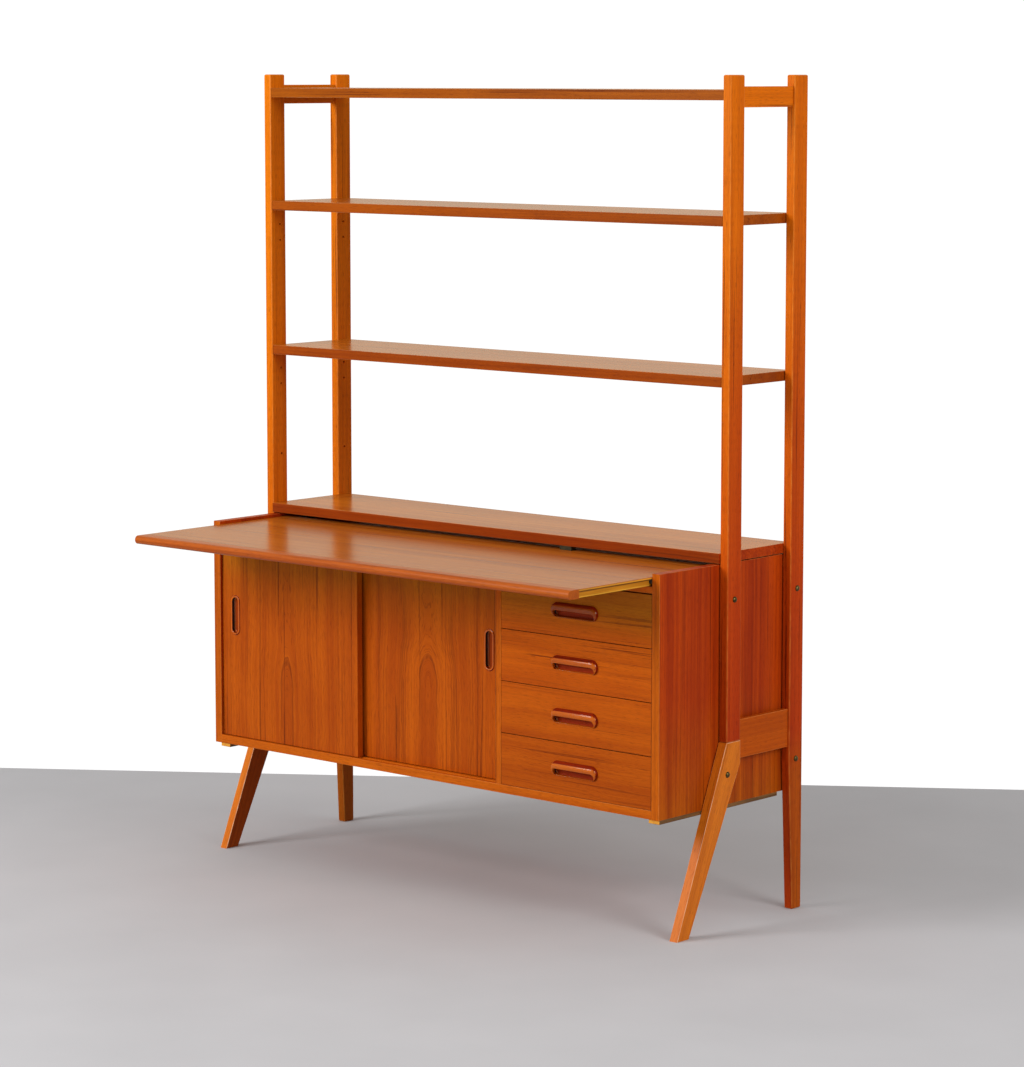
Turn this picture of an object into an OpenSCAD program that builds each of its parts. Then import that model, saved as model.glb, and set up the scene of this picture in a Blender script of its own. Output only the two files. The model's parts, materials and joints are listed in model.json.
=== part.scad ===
// Teak bookcase on two post frames, with three shelves, two of them adjustable, over a low
// cabinet that has a pull-out desk board, two sliding doors and a stack of four drawers.
// X runs across the width, +Y points to the wall, Z is up and z = 0 is the floor.
// The desk board is drawn pulled out. Doors and drawers are closed.

/* [Rack] */
// Height of the four posts
rack_h = 1650; // [1580:1:1980]
// Width over the posts
rack_w = 1260; // [1050:1:1512]
// Depth from the front face of the front posts to the back of the rear posts
rack_d = 243; // [230:1:292]
// Thickness of a post, across the width
post_t = 20; // [18:0.5:24]
// Width of a post, front to back
post_w = 43; // [38:1:52]
// How far each front foot stands ahead of its post
foot_reach = 149; // [100:1:180]
// Width of a front foot at the floor
foot_w = 35; // [28:1:45]
// Width of a rear foot at the floor
rear_foot_w = 29; // [22:1:38]
// Height of the joint between a front post and its leg
scarf_z = 366; // [350:1:380]
// Thickness of the rails between the posts
rail_t = 12; // [10:0.5:16]
// Height of an upper rail
upper_rail_h = 40; // [32:1:60]
// Drop from the top of the posts to the top of an upper rail
upper_rail_drop = 22; // [10:1:40]
// Height of a lower rail
lower_rail_h = 76; // [60:1:90]
// Bottom of a lower rail above the floor
lower_rail_z = 330; // [325:1:345]

/* [Shelves] */
// Thickness of every shelf and of the fixed top
shelf_t = 20; // [17:0.5:24]
// Depth of the loose and top shelves
shelf_d = 225; // [200:1:228]
// Drop from the top of the posts to the top shelf's surface
top_shelf_drop = 28.5; // [20:0.5:60]
// Drop from the top shelf's surface to the upper adjustable shelf's
upper_shelf_drop = 239; // [180:0.5:260]
// Drop from the upper adjustable shelf's surface to the lower one's
lower_shelf_drop = 308; // [250:0.5:315]
// Distance between the pin holes of one group
hole_pitch = 34; // [25:0.5:40]
// Pin holes in each group
hole_count = 3; // [2:1:4]
// Height of the single spare pin hole above the fixed top
spare_hole_lift = 104.5; // [60:0.5:150]
// Diameter of a shelf pin
pin_d = 5; // [4:0.5:6]

/* [Cabinet] */
// How far the cabinet stands ahead of the front posts
cabinet_reach = 180; // [120:1:210]
// Underside of the cabinet above the floor
cabinet_z = 238.5; // [200:0.5:260]
// Top edge of the end panels
cabinet_top_z = 712.5; // [690:0.5:855]
// Thickness of an end panel
panel_t = 19; // [16:0.5:23]
// Thickness of the bottom panel
bottom_t = 17.5; // [15:0.5:21]
// Thickness of the panel under the desk board
sub_top_t = 13; // [12:0.5:16]
// Thickness of the partition between cupboard and drawers
partition_t = 15; // [12:0.5:18]
// Left face of the partition, from the middle of the bookcase
partition_x = 191; // [120:1:260]
// Thickness of the plywood back
back_t = 5; // [4:0.5:6]

/* [Desk] */
// Travel of the desk board, from pushed in to pulled out
desk_pull = 211; // [150:1:225]
// Thickness of the desk board
desk_t = 17.5; // [16:0.5:22]
// Depth of its solid rounded front edge
lipping_d = 31; // [22:1:38]

/* [Doors] */
// Thickness of a sliding door
door_t = 15; // [13:0.5:18]
// How far the closed doors overlap in the middle
door_overlap = 12; // [6:1:40]
// Set-back of the front door from the cabinet's front
door_setback = 6; // [4:0.5:10]

/* [Drawers] */
// Gap between two drawer fronts
drawer_gap = 1.8; // [1:0.1:3]
// Thickness of a drawer front
drawer_front_t = 15; // [13:0.5:20]
// Height of the drawer sides
drawer_side_h = 84; // [70:1:95]

/* [Hidden] */
$fn = 48;
drawer_count = 4;

teak = [0.66, 0.30, 0.10];
red_teak = [0.55, 0.20, 0.08];
pull_teak = [0.45, 0.14, 0.06];
pale_wood = [0.80, 0.58, 0.28];
bronze = [0.35, 0.27, 0.13];
steel = [0.62, 0.62, 0.60];
olive = [0.38, 0.36, 0.20];
black = [0.05, 0.05, 0.05];

// Clearances
glue_gap = 0.1;       // around a glued tenon, tongue or dowel
slide_gap = 1;        // beside a part that slides
shadow_gap = 2;       // between cabinet and posts, and between cabinet and fixed top
rest_gap = 0.3;       // between a lifted shelf and its pins
bolt_gap = 0.2;       // around a bolt's shank

// Places across the width, on the right side
outer_x = rack_w / 2;
post_x = outer_x - post_t;
panel_out_x = post_x - shadow_gap;
panel_x = panel_out_x - panel_t;
rail_x = outer_x - (post_t + rail_t) / 2;
drawer_x0 = partition_x + partition_t;

// Places from front to back
depth = lipping_d + desk_pull + cabinet_reach + rack_d + 0.5;
rear_y = depth / 2;
post_y = rear_y - rack_d;
rear_post_y = rear_y - post_w;
cabinet_y = post_y - cabinet_reach;
back_y = rear_y - 3 - back_t;
desk_y = cabinet_y - 0.5 - desk_pull - lipping_d;

// Heights
floor_z = cabinet_z + bottom_t;
desk_top_z = cabinet_top_z - 6.5;
desk_z = desk_top_z - desk_t;
sub_top_z = desk_z - 1.5 - sub_top_t;
fixed_top_z = cabinet_top_z + shadow_gap + shelf_t;
upper_rail_z = rack_h - upper_rail_drop - upper_rail_h;
top_shelf_z = rack_h - top_shelf_drop;
upper_shelf_z = top_shelf_z - upper_shelf_drop;
lower_shelf_z = upper_shelf_z - lower_shelf_drop;
knee_z = lower_rail_z - 8;
foot_taper_z = lower_rail_z - 30;

// Joints inside the wood
tenon_t = 8;
tenon_l = 12;
scarf_tenon = [10, 20, 30];
scarf_tenon_y = post_y + 15;
tongue_t = 7;
tongue_l = 6;
housing = 4;
dowel_d = 8;
dowel_l = 28;
dowel_in_post = 10;
front_dowel_y = post_y + post_w - tenon_l - dowel_d;
rear_dowel_y = rear_post_y + tenon_l + dowel_d / 2 + 2.5;

// Fittings
bolt_d = 6;
bolt_z = [304, 644.5];
leg_bolt_y = post_y + 3;
front_bolt_y = post_y + post_w / 2;
rear_bolt_y = rear_y - post_w / 2;
bolt_spots = [[leg_bolt_y, bolt_z[0]], [front_bolt_y, bolt_z[1]],
              [rear_bolt_y, bolt_z[0]], [rear_bolt_y, bolt_z[1]]];
cap_d = 12;
cap_h = 4;
insert_d = 10;
insert_l = 14;
washer_d = 16;
front_pin_y = post_y + 26;
rear_pin_y = rear_post_y + 19;
pin_l = 19;
pin_in_post = 10;
pin_lift = 3.5;       // centre of a pin above the underside of the shelf it holds
pin_slot_w = pin_d + 0.8;
shelf_y = post_y + 1;
fixed_top_y = post_y - 3;

// Desk board
ply_t = 4.5;
runner_w = 7;
runner_h = 7.5;
strip_w = 20;
desk_half = panel_x - slide_gap;
desk_rear_y = back_y - slide_gap - desk_pull;
strip_x = panel_x - runner_w - slide_gap / 2;

// Doors
groove_w = 7;
lower_groove_h = 4;
upper_groove_h = 9;   // deep enough to lift a door out of the lower groove
door_tongue_t = 6;
door_foot = 1.5;
door_heel = door_foot + lower_groove_h - rest_gap;
door_spacing = 5;
door_z = floor_z + door_foot;
door_h = sub_top_z - door_foot - door_z;
door_w = (panel_x + partition_x - 2 * slide_gap + door_overlap) / 2;
left_door_y = cabinet_y + door_setback;
right_door_y = left_door_y + door_t + door_spacing;
left_door_x = -panel_x + slide_gap;
right_door_x = partition_x - slide_gap - door_w;
door_pull_size = [27, 85];
door_pull_inset = 38; // centre of a pull from the door's outer edge
left_pull_x = left_door_x + door_pull_inset;
right_pull_x = right_door_x + door_w - door_pull_inset;
door_pull_z = door_z + 258;
door_pull_depth = 11;

// Drawers
drawer_pitch = (sub_top_z - 2 - floor_z) / drawer_count;
drawer_front_h = drawer_pitch - drawer_gap;
drawer_side_t = 10;
drawer_side_gap = 1.5;
drawer_side_lift = 8;
drawer_back_t = 8;
drawer_bottom_t = 4;
drawer_rear_y = back_y - 10;
drawer_runner_h = 10;
drawer_groove = [5, 12];
drawer_mid_x = (drawer_x0 + panel_x) / 2;
front_half = (panel_x - drawer_x0) / 2 - slide_gap;
box_half = (panel_x - drawer_x0) / 2 - drawer_side_gap;
drawer_box_y = cabinet_y + drawer_front_t;
bottom_lift = 6;
bottom_groove = 4;
drawer_pull_size = [117, 30];
drawer_plug_size = drawer_pull_size - [4, 4];
drawer_pull_proud = 10;
drawer_pull_depth = 9;

// Size of a batten, and how much further in the left one was fitted
batten = [26, 368, 7.5];
left_batten_inset = 16;

// ---------- Shapes ----------

// A box between two opposite corners.
module block(low, high) {
    translate(low) cube(high - low);
}

// An outline in Y and Z, extruded along X from x0 to x1.
module side_cut(x0, x1, points) {
    translate([x0, 0, 0]) rotate([90, 0, 90]) linear_extrude(x1 - x0) polygon(points);
}

// A round bar or bore along X.
module bar_x(x0, x1, y, z, d) {
    translate([x0, y, z]) rotate([0, 90, 0]) cylinder(h = x1 - x0, d = d);
}

// An oval in the plane of the doors, longer either way, extruded from y0 to y1.
module oval(size, y0, y1) {
    r = min(size) / 2;
    lying = size[0] > size[1];
    straight = max(size) - 2 * r;
    translate([0, y1, 0]) rotate([90, 0, 0]) linear_extrude(y1 - y0)
        rotate(lying ? 0 : 90) {
            for (s = [-1, 1]) translate([s * straight / 2, 0]) circle(r);
            square([straight, 2 * r], center = true);
        }
}

// The given right-hand piece, or its mirror image on the left.
module mirrored(side) {
    mirror([side < 0 ? 1 : 0, 0, 0]) children();
}

// ---------- Post frames, drawn for the right side ----------

function pin_z(shelf_z) = shelf_z - shelf_t + pin_lift;
function hole_heights() = concat(
    [for (shelf_z = [upper_shelf_z, lower_shelf_z], k = [0:hole_count - 1])
        pin_z(shelf_z) - k * hole_pitch],
    [fixed_top_z + spare_hole_lift]);
function dowel_heights() = [top_shelf_z - shelf_t / 2, fixed_top_z - shelf_t / 2];

// Blind holes in a post's inner face for pins and dowels.
module post_holes(pin_y, dowel_y) {
    for (z = hole_heights()) bar_x(post_x - 1, post_x + pin_in_post + 1, pin_y, z, pin_d + bolt_gap);
    for (z = dowel_heights())
        bar_x(post_x - 1, post_x + dowel_in_post + 0.5, dowel_y, z, dowel_d + bolt_gap);
}

// The tenon at a rail's end, or with a positive gap the mortise it sits in.
module rail_tenon(y, z, h, gap = 0) {
    middle = outer_x - post_t / 2;
    block([middle - tenon_t / 2 - gap, y - gap, z + 6 - gap],
          [middle + tenon_t / 2 + gap, y + tenon_l + gap, z + h - 6 + gap]);
}

module rail_mortises(y) {
    rail_tenon(y, upper_rail_z, upper_rail_h, glue_gap);
    rail_tenon(y, lower_rail_z, lower_rail_h, glue_gap);
}

module bolt_hole(y, z) {
    bar_x(post_x - 1, outer_x + 1, y, z, bolt_d + 2 * bolt_gap);
}

module leg_tenon(gap = 0) {
    translate([outer_x - post_t / 2, scarf_tenon_y, scarf_z - scarf_tenon[2] / 2])
        cube(scarf_tenon + [2 * gap, 2 * gap, 2 * gap], center = true);
}

module front_post(side) color(teak) mirrored(side) difference() {
    union() {
        block([post_x, post_y, scarf_z], [outer_x, post_y + post_w, rack_h]);
        leg_tenon();
    }
    post_holes(front_pin_y, front_dowel_y);
    rail_mortises(post_y + post_w - tenon_l);
    bolt_hole(front_bolt_y, bolt_z[1]);
}

module front_leg(side) color(teak) mirrored(side) difference() {
    side_cut(post_x, outer_x, [
        [post_y, scarf_z], [post_y - foot_reach, 0], [post_y - foot_reach + foot_w, 0],
        [post_y + post_w, knee_z], [post_y + post_w, scarf_z]]);
    leg_tenon(glue_gap);
    rail_tenon(post_y + post_w - tenon_l, lower_rail_z, lower_rail_h, glue_gap);
    bolt_hole(leg_bolt_y, bolt_z[0]);
}

module rear_post(side) color(teak) mirrored(side) difference() {
    side_cut(post_x, outer_x, [
        [rear_y, 0], [rear_y, rack_h], [rear_post_y, rack_h],
        [rear_post_y, foot_taper_z], [rear_y - rear_foot_w, 0]]);
    post_holes(rear_pin_y, rear_dowel_y);
    rail_mortises(rear_post_y);
    for (z = bolt_z) bolt_hole(rear_bolt_y, z);
}

module rail(side, z, h) color(teak) mirrored(side) {
    block([rail_x, post_y + post_w, z], [rail_x + rail_t, rear_post_y, z + h]);
    rail_tenon(post_y + post_w - tenon_l, z, h);
    rail_tenon(rear_post_y, z, h);
}

// ---------- Shelves ----------

// A board between the posts, held by dowels.
module dowelled_board(y0, y1, top_z) difference() {
    block([-post_x, y0, top_z - shelf_t], [post_x, y1, top_z]);
    for (side = [-1, 1], y = [front_dowel_y, rear_dowel_y]) mirrored(side)
        bar_x(post_x - dowel_l + dowel_in_post - 0.5, post_x + 1, y, top_z - shelf_t / 2,
              dowel_d + bolt_gap);
}

// A loose shelf, with a slot under each corner that hides the pin it rests on.
module loose_shelf(top_z) difference() {
    end_x = post_x - slide_gap;
    block([-end_x, shelf_y, top_z - shelf_t], [end_x, shelf_y + shelf_d, top_z]);
    for (side = [-1, 1], y = [front_pin_y, rear_pin_y]) mirrored(side)
        block([post_x - pin_l + pin_in_post - 1, y - pin_slot_w / 2, top_z - shelf_t - 1],
              [post_x + 1, y + pin_slot_w / 2, pin_z(top_z) + pin_d / 2 + rest_gap]);
}

module top_shelf() color(teak) dowelled_board(shelf_y, shelf_y + shelf_d, top_shelf_z);
module upper_shelf() color(teak) loose_shelf(upper_shelf_z);
module lower_shelf() color(teak) loose_shelf(lower_shelf_z);
module fixed_top() color(teak) dowelled_board(fixed_top_y, shelf_y + shelf_d, fixed_top_z);

module shelf_pins() color(bronze)
    for (side = [-1, 1], y = [front_pin_y, rear_pin_y], z = [upper_shelf_z, lower_shelf_z]) mirrored(side)
        bar_x(post_x - pin_l + pin_in_post, post_x + pin_in_post, y, pin_z(z), pin_d);

module shelf_dowels() color(pale_wood)
    for (side = [-1, 1], y = [front_dowel_y, rear_dowel_y], z = dowel_heights()) mirrored(side)
        bar_x(post_x - dowel_l + dowel_in_post, post_x + dowel_in_post, y, z, dowel_d);

// ---------- Bolts that hold the cabinet between the frames ----------

module at_bolts() {
    for (side = [-1, 1], spot = bolt_spots)
        mirrored(side) translate([0, spot[0], spot[1]]) children();
}

// The domed cap and the shank are one solid, turned about its axis.
module frame_bolts() color(bronze) at_bolts() {
    ball_r = (cap_d * cap_d / 4 + cap_h * cap_h) / (2 * cap_h);
    shank = outer_x - panel_out_x + insert_l - 1;
    translate([outer_x, 0, 0]) rotate([0, 90, 0]) rotate_extrude() {
        intersection() {
            translate([0, cap_h - ball_r]) circle(ball_r);
            square([cap_d, cap_h + 1]);
        }
        translate([0, -shank]) square([bolt_d / 2, shank + 1]);
    }
}

module threaded_inserts() color(steel) at_bolts() difference() {
    bar_x(panel_out_x - insert_l, panel_out_x, 0, 0, insert_d);
    bar_x(panel_out_x - insert_l - 1, panel_out_x + 1, 0, 0, bolt_d + bolt_gap);
}

module spacer_washers() color(steel) at_bolts() difference() {
    bar_x(panel_out_x, post_x, 0, 0, washer_d);
    bar_x(panel_out_x - 1, post_x + 1, 0, 0, bolt_d + 2 * bolt_gap);
}

// ---------- Cabinet ----------

// The tongue at a horizontal panel's end, or with a positive gap the groove it sits in.
module end_tongue(z, t, gap = 0) {
    block([panel_x - 1, cabinet_y + 12 - gap, z + (t - tongue_t) / 2 - gap],
          [panel_x + tongue_l + gap, back_y, z + (t + tongue_t) / 2 + gap]);
}

module end_panel(side) color(red_teak) mirrored(side) difference() {
    block([panel_x, cabinet_y, cabinet_z], [panel_out_x, back_y + back_t, cabinet_top_z]);
    block([panel_x - 1, back_y, cabinet_z - 1],
          [panel_x + 8 + glue_gap, back_y + back_t + 1, cabinet_top_z + 1]);
    end_tongue(cabinet_z, bottom_t, glue_gap);
    end_tongue(sub_top_z, sub_top_t, glue_gap);
    for (spot = bolt_spots)
        bar_x(panel_out_x - insert_l - 0.5, panel_out_x + 1, spot[0], spot[1], insert_d + bolt_gap);
}

module level_panel(z, t) {
    block([-panel_x, cabinet_y, z], [panel_x, back_y, z + t]);
    for (side = [-1, 1]) mirrored(side) end_tongue(z, t);
}

// The partition's stub tongues, or with a positive gap the housings they sit in.
module partition_tongues(gap = 0) {
    block([partition_x + 4 - gap, cabinet_y + 20 - gap, floor_z - housing - gap],
          [partition_x + partition_t - 4 + gap, back_y, sub_top_z + housing + gap]);
}

// Door grooves stop at the partition and at the left end panel.
module door_grooves(z0, z1) {
    for (y = [left_door_y, right_door_y])
        block([-panel_x, y + (door_t - groove_w) / 2, z0],
              [partition_x, y + (door_t + groove_w) / 2, z1]);
}

module bottom_panel() color(teak) difference() {
    level_panel(cabinet_z, bottom_t);
    door_grooves(floor_z - lower_groove_h, floor_z + 1);
    partition_tongues(glue_gap);
}

module sub_top() color(teak) difference() {
    level_panel(sub_top_z, sub_top_t);
    door_grooves(sub_top_z - 1, sub_top_z + upper_groove_h);
    partition_tongues(glue_gap);
}

module partition() color(teak) {
    block([partition_x, cabinet_y, floor_z], [drawer_x0, back_y, sub_top_z]);
    partition_tongues();
}

module cabinet_back() color(pale_wood)
    block([-panel_x - 8, back_y, cabinet_z], [panel_x + 8, back_y + back_t, cabinet_top_z]);

// Raw battens under the cabinet's two ends.
module batten_from(x) color(pale_wood) translate([x, cabinet_y + 2, cabinet_z - batten[2]]) cube(batten);
module left_batten() batten_from(left_batten_inset - panel_out_x);
module right_batten() batten_from(panel_out_x - batten[0]);

// ---------- Desk board ----------

module desk_runners() color(black)
    for (side = [-1, 1]) mirrored(side)
        block([panel_x - runner_w, cabinet_y, desk_top_z - ply_t - rest_gap - runner_h],
              [panel_x, back_y - slide_gap, desk_top_z - ply_t - rest_gap]);

// Pad under the fixed top's front edge that keeps the rear of the desk board down.
module desk_guide_pad() color(olive)
    block([drawer_x0 - 1, fixed_top_y + 1, desk_top_z + 0.4],
          [drawer_x0 + 29, fixed_top_y + 16, fixed_top_z - shelf_t]);

module desk_board() color(teak) {
    block([-desk_half, desk_y + lipping_d, desk_top_z - ply_t], [desk_half, desk_rear_y, desk_top_z]);
    block([strip_w - strip_x, desk_y + lipping_d, desk_z],
          [strip_x - strip_w, desk_rear_y, desk_top_z - ply_t]);
}

module desk_strip(side) color(pale_wood) mirrored(side)
    block([strip_x - strip_w, desk_y + lipping_d, desk_z], [strip_x, desk_rear_y, desk_top_z - ply_t]);

// Solid front edge with a half-round nose.
module desk_lipping() color(red_teak) {
    block([-desk_half, desk_y + desk_t / 2, desk_z], [desk_half, desk_y + lipping_d, desk_top_z]);
    bar_x(-desk_half, desk_half, desk_y + desk_t / 2, desk_z + desk_t / 2, desk_t);
}

// ---------- Sliding doors ----------

module door(x, y, pull_x) color(teak) difference() {
    union() {
        block([x, y, door_z], [x + door_w, y + door_t, door_z + door_h]);
        block([x, y + (door_t - door_tongue_t) / 2, door_z - door_heel],
              [x + door_w, y + (door_t + door_tongue_t) / 2, door_z + door_h + door_heel]);
    }
    translate([pull_x, y, door_pull_z])
        oval(door_pull_size + [bolt_gap, bolt_gap], -1, door_pull_depth + bolt_gap);
}

// Oval cup with a raised rim, let into the door.
module door_pull(x, y) color(pull_teak) translate([x, y, door_pull_z]) difference() {
    oval(door_pull_size, -1.5, door_pull_depth);
    oval(door_pull_size - [10, 10], -3, door_pull_depth - 2);
}

module left_door() door(left_door_x, left_door_y, left_pull_x);
module right_door() door(right_door_x, right_door_y, right_pull_x);
module left_door_pull() door_pull(left_pull_x, left_door_y);
module right_door_pull() door_pull(right_pull_x, right_door_y);

// ---------- Drawers ----------

// Underside and middle height of a drawer front. Drawer 1 is the top one.
function drawer_z(i) = floor_z + 1 + (drawer_count - i) * drawer_pitch;
function drawer_mid_z(i) = drawer_z(i) + drawer_front_h / 2;

module drawer_front(i) color(teak) difference() {
    block([drawer_mid_x - front_half, cabinet_y, drawer_z(i)],
          [drawer_mid_x + front_half, drawer_box_y, drawer_z(i) + drawer_front_h]);
    translate([drawer_mid_x, cabinet_y, drawer_mid_z(i)])
        oval(drawer_plug_size + [bolt_gap, bolt_gap], -1, drawer_pull_depth + bolt_gap);
}

// Both sides, each grooved outside for its runner strip and inside for the bottom.
module drawer_sides(i) color(pale_wood) {
    z = drawer_z(i) + drawer_side_lift;
    mid = drawer_mid_z(i);
    inner = box_half - drawer_side_t;
    for (side = [-1, 1]) translate([drawer_mid_x, 0, 0]) mirrored(side) difference() {
        block([inner, drawer_box_y, z], [box_half, drawer_rear_y, z + drawer_side_h]);
        block([box_half - drawer_groove[0], drawer_box_y + 20, mid - drawer_groove[1] / 2],
              [box_half + 1, drawer_rear_y + 1, mid + drawer_groove[1] / 2]);
        block([inner - 1, drawer_box_y - 1, z + bottom_lift],
              [inner + bottom_groove, drawer_rear_y + 1, z + bottom_lift + drawer_bottom_t]);
    }
}

module drawer_back(i) color(pale_wood) {
    z = drawer_z(i) + drawer_side_lift;
    half = box_half - drawer_side_t;
    block([drawer_mid_x - half, drawer_rear_y - drawer_back_t, z + bottom_lift + drawer_bottom_t],
          [drawer_mid_x + half, drawer_rear_y, z + drawer_side_h]);
}

module drawer_bottom(i) color(pale_wood) {
    z = drawer_z(i) + drawer_side_lift + bottom_lift;
    half = box_half - drawer_side_t + bottom_groove - 0.5;
    block([drawer_mid_x - half, drawer_box_y, z + glue_gap],
          [drawer_mid_x + half, drawer_rear_y, z + drawer_bottom_t - glue_gap]);
}

// Lipped oval pull: the finger pocket opens below a thick upper lip.
module drawer_pull(i) color(pull_teak)
    translate([drawer_mid_x, cabinet_y, drawer_mid_z(i)]) difference() {
        union() {
            oval(drawer_pull_size, -drawer_pull_proud, 0);
            oval(drawer_plug_size, -1, drawer_pull_depth);
        }
        translate([0, 0, -3])
            oval(drawer_pull_size - [18, 16], -drawer_pull_proud - 1, drawer_pull_depth - 2);
    }

// Strips on the partition and the end panel that carry the drawers.
module drawer_runners() color(pale_wood)
    for (i = [1:drawer_count], side = [-1, 1]) translate([drawer_mid_x, 0, 0]) mirrored(side) {
        top_z = drawer_mid_z(i) + drawer_groove[1] / 2 - rest_gap;
        block([box_half - drawer_groove[0] + 0.5, drawer_box_y + 25, top_z - drawer_runner_h],
              [box_half + drawer_side_gap, drawer_rear_y, top_z]);
    }

// ---------- The nodes ----------

front_post(-1);  // left_front_post
front_post(1);  // right_front_post
rear_post(-1);  // left_rear_post
rear_post(1);  // right_rear_post
front_leg(-1);  // left_front_leg
front_leg(1);  // right_front_leg
rail(-1, upper_rail_z, upper_rail_h);  // left_upper_rail
rail(1, upper_rail_z, upper_rail_h);  // right_upper_rail
rail(-1, lower_rail_z, lower_rail_h);  // left_lower_rail
rail(1, lower_rail_z, lower_rail_h);  // right_lower_rail
top_shelf();
upper_shelf();
lower_shelf();
fixed_top();
end_panel(-1);  // left_end_panel
end_panel(1);  // right_end_panel
bottom_panel();
sub_top();
partition();
cabinet_back();
left_batten();
right_batten();
frame_bolts();
threaded_inserts();
spacer_washers();
shelf_pins();
shelf_dowels();
desk_runners();
desk_guide_pad();
drawer_runners();
desk_board();
desk_lipping();
desk_strip(-1);  // desk_left_strip
desk_strip(1);  // desk_right_strip
left_door();
left_door_pull();
right_door();
right_door_pull();
for (i = [1:drawer_count]) {
    drawer_front(i);
    drawer_sides(i);
    drawer_back(i);
    drawer_bottom(i);
    drawer_pull(i);
}
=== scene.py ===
"""Teak bookcase with a desk board, sliding doors and drawers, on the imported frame."""
import json
import math

import bmesh
import bpy
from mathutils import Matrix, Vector

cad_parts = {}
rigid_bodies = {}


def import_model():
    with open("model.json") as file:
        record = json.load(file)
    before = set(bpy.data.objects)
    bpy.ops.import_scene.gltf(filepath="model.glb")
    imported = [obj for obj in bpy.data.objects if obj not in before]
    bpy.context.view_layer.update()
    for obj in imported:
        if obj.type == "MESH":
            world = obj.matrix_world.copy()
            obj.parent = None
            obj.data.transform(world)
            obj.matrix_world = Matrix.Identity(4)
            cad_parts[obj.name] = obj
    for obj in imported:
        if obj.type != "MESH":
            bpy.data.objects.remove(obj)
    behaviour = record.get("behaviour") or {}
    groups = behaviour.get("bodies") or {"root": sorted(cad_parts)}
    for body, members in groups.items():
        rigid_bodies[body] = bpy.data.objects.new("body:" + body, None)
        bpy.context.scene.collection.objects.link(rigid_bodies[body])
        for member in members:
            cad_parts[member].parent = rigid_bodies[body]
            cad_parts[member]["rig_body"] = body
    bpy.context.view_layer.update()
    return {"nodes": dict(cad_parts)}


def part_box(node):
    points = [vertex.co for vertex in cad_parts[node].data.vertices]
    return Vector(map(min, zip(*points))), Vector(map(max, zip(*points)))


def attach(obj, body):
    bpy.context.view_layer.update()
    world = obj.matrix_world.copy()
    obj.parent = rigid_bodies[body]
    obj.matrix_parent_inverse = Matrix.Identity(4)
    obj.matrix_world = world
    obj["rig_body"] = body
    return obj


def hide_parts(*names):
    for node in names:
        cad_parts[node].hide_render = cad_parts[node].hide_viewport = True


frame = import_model()

X, Y, Z = Vector((1, 0, 0)), Vector((0, 1, 0)), Vector((0, 0, 1))
TINT_SPAN = 1.65                    # metres from the floor that a tint's 0 to 1 covers
SQUARE_ON = 0.9                     # a face looks along an axis when its normal's share is more than this
WELD = 1e-5
FLAT_ANGLE = math.radians(0.4)      # packed faces closer than this are one face
EASED_ANGLE = math.radians(30)      # edges sharper than this are rounded
SHARP_ANGLE = math.radians(40)
NARROW = 0.004                      # a face narrower than this runs smooth into its neighbours


# Finishes

class Wire:
    """A number in a finish. Sums and products of it add their own Math nodes."""

    def __init__(self, finish, socket):
        self.finish, self.socket = finish, socket

    def math(self, operation, *values):
        return self.finish.add("ShaderNodeMath", {"operation": operation}, values)

    def __add__(self, other): return self.math("ADD", self, other)
    def __sub__(self, other): return self.math("SUBTRACT", self, other)
    def __rsub__(self, other): return self.math("SUBTRACT", other, self)
    def __mul__(self, other): return self.math("MULTIPLY", self, other)
    def __abs__(self): return self.math("ABSOLUTE", self)
    __radd__, __rmul__ = __add__, __mul__

    def root(self): return self.math("SQRT", self)

    def rise(self, low, high):
        """0 below low, 1 above high, smooth between."""
        return self.finish.add("ShaderNodeMapRange", {"interpolation_type": "SMOOTHSTEP"},
                               {"Value": self, "From Min": low, "From Max": high})


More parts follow.
